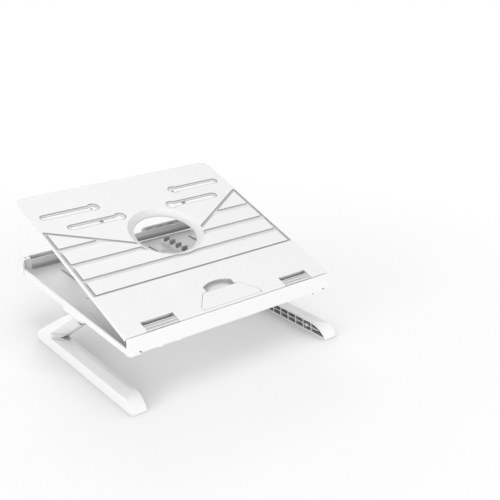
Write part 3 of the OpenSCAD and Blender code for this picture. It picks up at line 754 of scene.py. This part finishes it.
@dataclass
class TopPlate(SubAssembly):
    """The slotted, stepped plate with its dished window."""

    title: str = "top plate"
    nodes: tuple[str, ...] = ("top_plate",)
    marks: EjectorMarks = field(default_factory=EjectorMarks)
    mark_across: tuple[float, ...] = (0.09, 0.28, 0.72, 0.91)
    mark_back: tuple[float, ...] = (0.2, 0.39, 0.63, 0.86)
    window_at: tuple[float, float, float] = (0.0, 0.0131, 0.1475)
    window_radius: float = 53.2 * MM

    def dress(self, wardrobe: Wardrobe) -> None:
        """Gives the plate its plastic, with painted shade on the dished ring round the window.

        Args:
            wardrobe: The finishes.
        """
        super().dress(wardrobe)
        finish = MouldedPlastic(
            name="plate_plastic", ring_centre=self.window_at, ring_radius=self.window_radius)
        frame["nodes"]["top_plate"].data.materials[0] = finish.build()

    def build(self, wardrobe: Wardrobe) -> list[bpy.types.Object]:
        """Builds the ejector marks of the plate's underside.

        Args:
            wardrobe: The finishes.

        Returns:
            The pieces.
        """
        low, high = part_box("top_plate")
        shares = tuple((across, back) for across in self.mark_across for back in self.mark_back)
        return self.marks.build(wardrobe, "plate_ejector_marks", "top_plate", "plate",
                                spread(low, high, shares, 0.0), Vector((0.0, 0.0, 1.0)))


@dataclass
class FlipTab(SubAssembly):
    """The tab that flips up in front of a laptop, with its pin."""

    title: str = "flip tab"
    nodes: tuple[str, ...] = ("flip_tab", "tab_pin")


@dataclass
class FlipStops(SubAssembly):
    """The two ribbed stops and their pins."""

    title: str = "flip stops"
    nodes: tuple[str, ...] = ("left_stop", "right_stop", "stop_pins")


@dataclass
class BaseTray(SubAssembly):
    """The shallow tray with its rear corner blocks and the plate's hinge pins."""

    title: str = "base tray"
    nodes: tuple[str, ...] = (
        "base_tray", "left_rear_guard", "right_rear_guard", "guard_screws", "hinge_pins")
    marks: EjectorMarks = field(default_factory=EjectorMarks)
    mark_across: tuple[float, ...] = (0.2, 0.38, 0.62, 0.8)
    mark_back: tuple[float, ...] = (0.12, 0.36, 0.64, 0.9)

    def build(self, wardrobe: Wardrobe) -> list[bpy.types.Object]:
        """Builds the ejector marks of the tray's underside.

        Args:
            wardrobe: The finishes.

        Returns:
            The pieces.
        """
        low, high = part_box("base_tray")
        shares = tuple((across, back) for across in self.mark_across for back in self.mark_back)
        return self.marks.build(wardrobe, "tray_ejector_marks", "base_tray", "base",
                                spread(low, high, shares, 0.0), Vector((0.0, 0.0, 1.0)))


@dataclass
class Racks(SubAssembly):
    """The two toothed racks that hold the wire prop."""

    title: str = "racks"
    nodes: tuple[str, ...] = ("left_rack", "right_rack", "rack_screws")


@dataclass
class WireProp(SubAssembly):
    """The bent wire that props the plate, with its saddles."""

    title: str = "wire prop"
    nodes: tuple[str, ...] = ("prop_bail", "left_bail_clip", "right_bail_clip", "clip_screws")


@dataclass
class FoldingLegs(SubAssembly):
    """The two V legs, their hinge brackets and pins."""

    title: str = "folding legs"
    nodes: tuple[str, ...] = (
        "left_leg", "right_leg", "left_leg_pin", "right_leg_pin",
        "left_bracket", "right_bracket", "bracket_screws")


@dataclass
class FootPads(SubAssembly):
    """Grooved rubber pads under the legs, in place of the plain ones."""

    title: str = "foot pads"
    nodes: tuple[str, ...] = ("left_foot_pads", "right_foot_pads")
    bodies: tuple[str, ...] = ("leg_left", "leg_right")
    length: float = 36.0 * MM
    rib: float = 2.4 * MM
    groove: float = 0.9 * MM
    groove_depth: float = 0.55 * MM
    wall: float = 0.06 * MM
    corner: float = 2.4 * MM
    chamfer: float = 0.25 * MM

    def stations(self) -> list[tuple[float, float]]:
        """Works out where the sole rises and falls along a pad.

        Returns:
            The distance from the pad's front end and the sole's height at each station.
        """
        steps = [(share * self.corner, 0.0) for share in (0.0, 0.12, 0.35, 0.65, 1.0)]
        pitch = self.rib + self.groove
        count = int((self.length - 2 * self.corner - self.rib) / pitch)
        start = (self.length - count * pitch + self.rib) / 2
        for index in range(count):
            front = start + index * pitch
            rear = front + self.groove
            steps += [(front - self.wall, 0.0), (front, self.groove_depth),
                      (rear, self.groove_depth), (rear + self.wall, 0.0)]
        steps += [(self.length - share * self.corner, 0.0) for share in (1.0, 0.65, 0.35, 0.12, 0.0)]
        return sorted(steps)

    def outline(self, along: float, half: float) -> float:
        """The pad's half width at a distance along it.

        Args:
            along: The distance from the front end.
            half: The half width of its straight part.

        Returns:
            The half width, less at the rounded ends.
        """
        inset = max(0.0, self.corner - min(along, self.length - along))
        return half - self.corner + math.sqrt(max(0.0, self.corner ** 2 - inset ** 2))

    def pad(self, mesh: bmesh.types.BMesh, middle: float, half: float, front: float,
            low: float, high: float) -> None:
        """Adds one pad.

        Args:
            mesh: The mesh that gets it.
            middle: Its middle across.
            half: Its half width.
            front: Its front end.
            low: The height of its sole.
            high: The height of its upper face.
        """
        rows = []
        for along, rise in self.stations():
            wide = self.outline(along, half)
            foot = low + rise
            rows.append([Vector((middle + across, front + along, up)) for across, up in (
                (-wide, high), (-wide, foot + self.chamfer), (-wide + self.chamfer, foot),
                (wide - self.chamfer, foot), (wide, foot + self.chamfer), (wide, high))])
        skin(mesh, rows)

    def build(self, wardrobe: Wardrobe) -> list[bpy.types.Object]:
        """Builds the pads of both legs.

        Args:
            wardrobe: The finishes.

        Returns:
            The pieces.
        """
        pieces = []
        for node, body in zip(self.nodes, self.bodies):
            low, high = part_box(node)
            middle, half = (low[0] + high[0]) / 2, (high[0] - low[0]) / 2
            mesh = bmesh.new()
            for front in (low[1], high[1] - self.length):
                self.pad(mesh, middle, half, front, low[2], high[2])
            piece = wardrobe.add(node.replace("foot_pads", "grooved_pads"), mesh, body, Slot.RUBBER)
            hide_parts(node)
            pieces.append(piece)
        return pieces


def main() -> None:
    """Builds the studio and the stand's sub-assemblies in order."""
    logging.basicConfig(level=logging.INFO, format="%(message)s")
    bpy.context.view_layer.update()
    Studio().build()
    wardrobe = Wardrobe()
    for part in (TopPlate(), FlipTab(), FlipStops(), BaseTray(), Racks(), WireProp(),
                 FoldingLegs(), FootPads()):
        part.dress(wardrobe)
        for piece in part.build(wardrobe):
            log.info("%s: built %s", part.title, piece.name)


if __name__ == "__main__":
    main()
